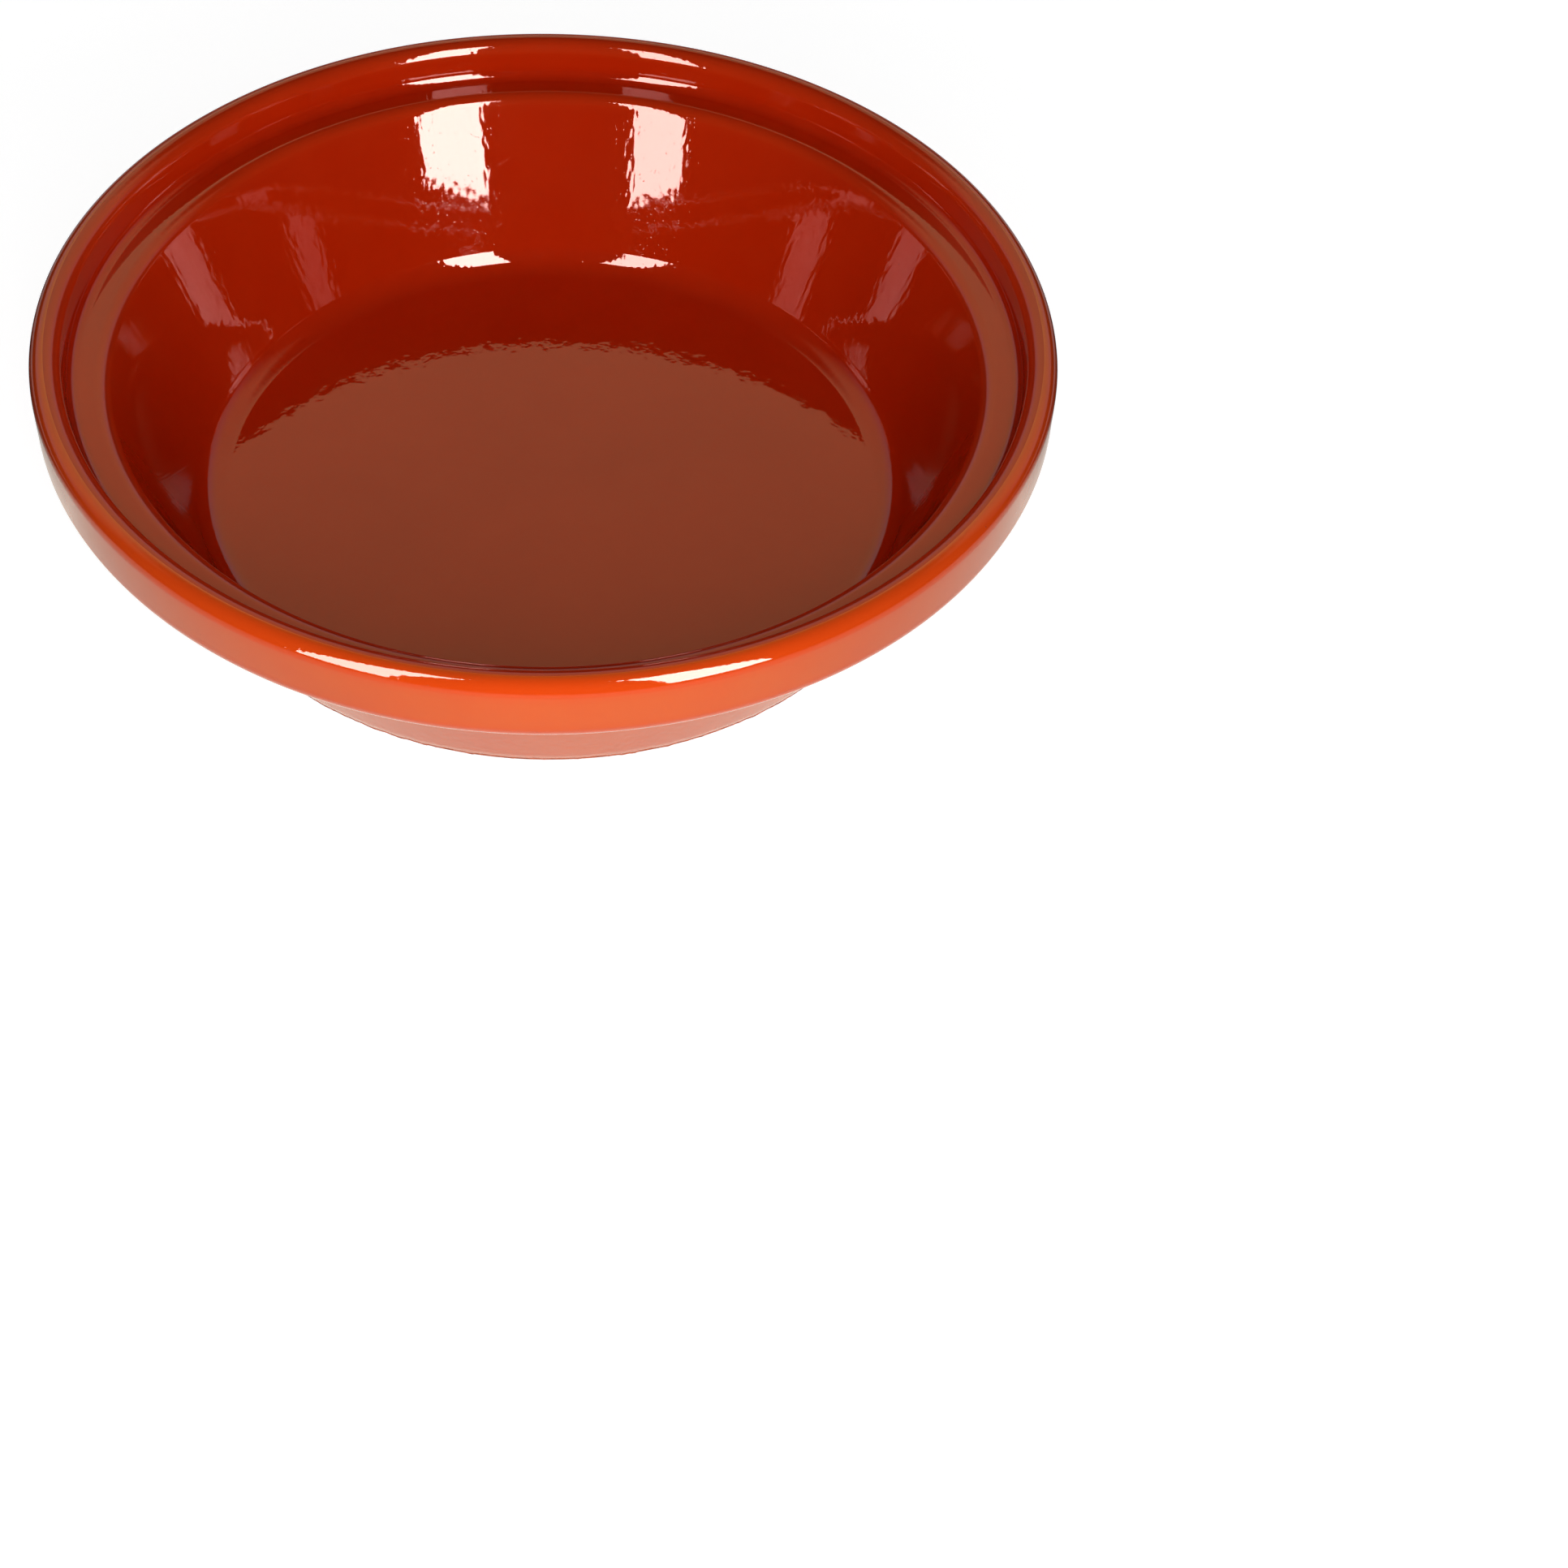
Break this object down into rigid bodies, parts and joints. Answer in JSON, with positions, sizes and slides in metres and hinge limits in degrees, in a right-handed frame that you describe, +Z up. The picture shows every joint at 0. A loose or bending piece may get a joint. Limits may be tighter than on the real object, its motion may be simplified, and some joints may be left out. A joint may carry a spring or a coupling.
{
  "type": "tagine base dish",
  "caption": "Round glazed terracotta dish: a shallow flared bowl with a stepped lid seat inside a thick rim, standing on a bare ribbed foot, for slow cooking under a cone lid.",
  "frame": {"origin": "centre of the foot, on the plane that the dish stands on", "axes": "+Z up along the dish's axis of revolution, X and Y level"},
  "size_m": [0.31, 0.31, 0.0745],
  "materials": {
    "bare_clay": "unglazed red clay, matt",
    "inside_glaze": "smooth high-gloss red-brown glaze",
    "outside_glaze": "glossy red-orange glaze with orange peel"
  },
  "bodies": {
    "root": {"clay_body": "bare_clay", "inside_glaze": "inside_glaze", "outside_glaze": "outside_glaze"}
  },
  "joints": []
}
